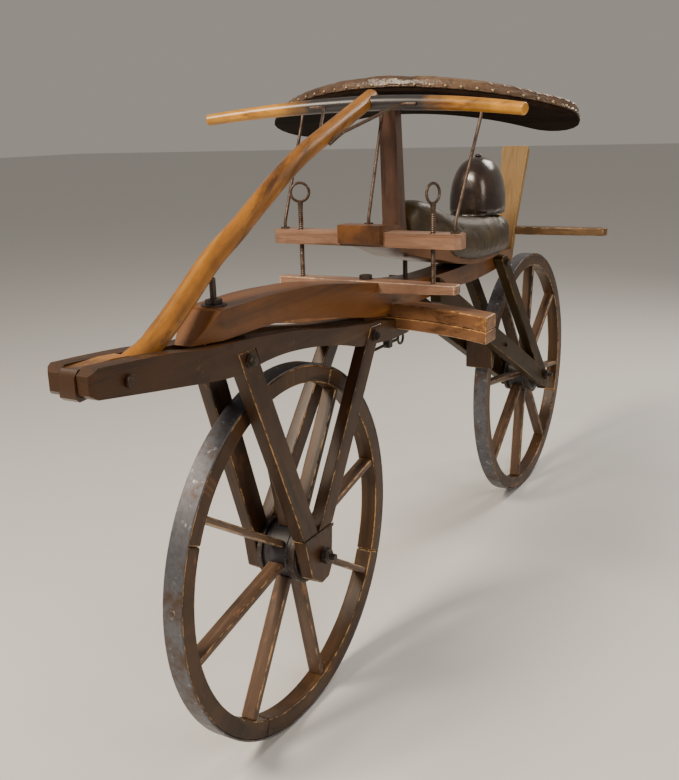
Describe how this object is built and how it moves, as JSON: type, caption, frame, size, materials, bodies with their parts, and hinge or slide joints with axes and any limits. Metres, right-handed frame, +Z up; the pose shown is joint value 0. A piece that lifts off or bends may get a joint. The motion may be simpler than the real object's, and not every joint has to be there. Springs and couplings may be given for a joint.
{
  "type": "hobby horse running machine",
  "caption": "Old two-wheeled wooden running machine with a steered front wheel, a long tiller with a handlebar, a padded saddle and a curved padded balance rest.",
  "frame": {"origin": "on the ground under the middle of the machine's length and width", "axes": "+X forwards along the travel direction, +Y to the rider's left, +Z up"},
  "size_m": [2.1719, 0.6994, 1.18],
  "materials": {
    "beam_wood": "oiled amber wood with dark streaks",
    "dark_wood": "dark varnish worn through at the edges",
    "strut_wood": "olive brown varnish, worn",
    "bar_wood": "greyish brown worn wood",
    "pale_wood": "bare light wood",
    "hub_wood": "dark paint, rubbed",
    "handle_wood": "wood darkened by hands",
    "old_iron": "dark forged iron",
    "rusty_iron": "rust brown forged iron",
    "tyre_iron": "worn blue grey iron",
    "brown_leather": "worn brown leather",
    "olive_leather": "olive brown leather, gathered",
    "black_leather": "black brown leather, polished by use"
  },
  "bodies": {
    "frame": {"main_beam": "beam_wood", "lower_crossbar": "bar_wood", "fixed_rubbing_board": "dark_wood", "rear_long_strut_left": "strut_wood", "rear_long_strut_right": "strut_wood", "rear_steep_strut_left": "strut_wood", "rear_steep_strut_right": "strut_wood", "frame_bolts": "old_iron", "rear_axle": "old_iron", "rear_axle_nuts": "old_iron", "brake_pin": "old_iron", "rear_upright": "pale_wood", "rear_cross_bar": "dark_wood", "seat_hinge_bracket": "old_iron", "kingpin": "old_iron", "kingpin_plate": "old_iron", "kingpin_nut": "old_iron"},
    "steering": {"steering_cheek_left": "dark_wood", "steering_cheek_right": "dark_wood", "kingpin_block": "dark_wood", "moving_rubbing_board": "dark_wood", "fork_front_leg_left": "dark_wood", "fork_front_leg_right": "dark_wood", "fork_rear_leg_left": "dark_wood", "fork_rear_leg_right": "dark_wood", "fork_feet": "dark_wood", "leg_bolts": "old_iron", "foot_straps": "old_iron", "front_axle": "old_iron", "front_axle_nuts": "old_iron", "tiller_pivot_bolt": "old_iron", "ring_screw": "old_iron"},
    "tiller_arm": {"tiller": "beam_wood", "handlebar": "handle_wood", "handlebar_braces": "rusty_iron"},
    "seat": {"seat_board": "beam_wood", "upper_crossbar": "bar_wood", "seat_hinge_leaf": "old_iron", "balance_post": "dark_wood", "balance_board": "dark_wood", "balance_pad": "brown_leather", "balance_stays": "rusty_iron", "saddle": "olive_leather", "saddle_bolster": "black_leather", "bolster_button": "brown_leather"},
    "left_screw": {"eye_screw_left": "rusty_iron"},
    "right_screw": {"eye_screw_right": "rusty_iron"},
    "brake": {"brake_block": "dark_wood"},
    "front_wheel": {"front_hub": "hub_wood", "front_hub_irons": "old_iron", "front_spokes": "strut_wood", "front_felloes": "strut_wood", "front_tyre": "tyre_iron"},
    "rear_wheel": {"rear_hub": "hub_wood", "rear_hub_irons": "old_iron", "rear_spokes": "strut_wood", "rear_felloes": "strut_wood", "rear_tyre": "tyre_iron"}
  },
  "joints": [
    {"name": "steering_pivot", "type": "hinge", "parent": "frame", "child": "steering", "pos_m": [0.771, 0, 0.7], "axis": [0, 0, 1], "range_deg": [-25, 25]},
    {"name": "front_wheel_spin", "type": "hinge", "parent": "steering", "child": "front_wheel", "pos_m": [0.587, 0, 0.343], "axis": [0, 1, 0], "continuous": true},
    {"name": "rear_wheel_spin", "type": "hinge", "parent": "frame", "child": "rear_wheel", "pos_m": [-0.73, 0, 0.356], "axis": [0, 1, 0], "continuous": true},
    {"name": "tiller_fold", "type": "hinge", "parent": "steering", "child": "tiller_arm", "pos_m": [1.019, 0, 0.775], "axis": [0, 1, 0], "range_deg": [0, 110]},
    {"name": "seat_tilt", "type": "hinge", "parent": "frame", "child": "seat", "pos_m": [-0.424, 0, 0.77], "axis": [0, -1, 0], "range_deg": [0, 2.4]},
    {"name": "left_screw_turn", "type": "hinge", "parent": "frame", "child": "left_screw", "pos_m": [0.27, 0.146, 0.9], "axis": [0, 0, 1], "range_deg": [0, 2400]},
    {"name": "right_screw_turn", "type": "hinge", "parent": "frame", "child": "right_screw", "pos_m": [0.27, -0.146, 0.9], "axis": [0, 0, 1], "range_deg": [0, 2400]},
    {"name": "brake_swing", "type": "hinge", "parent": "frame", "child": "brake", "pos_m": [-0.385, 0, 0.52036], "axis": [0, 1, 0], "range_deg": [-6, 5]}
  ],
  "couplings": [
    {"joint": "left_screw_turn", "follows": "seat_tilt", "ratio": 1000},
    {"joint": "right_screw_turn", "follows": "seat_tilt", "ratio": 1000}
  ]
}
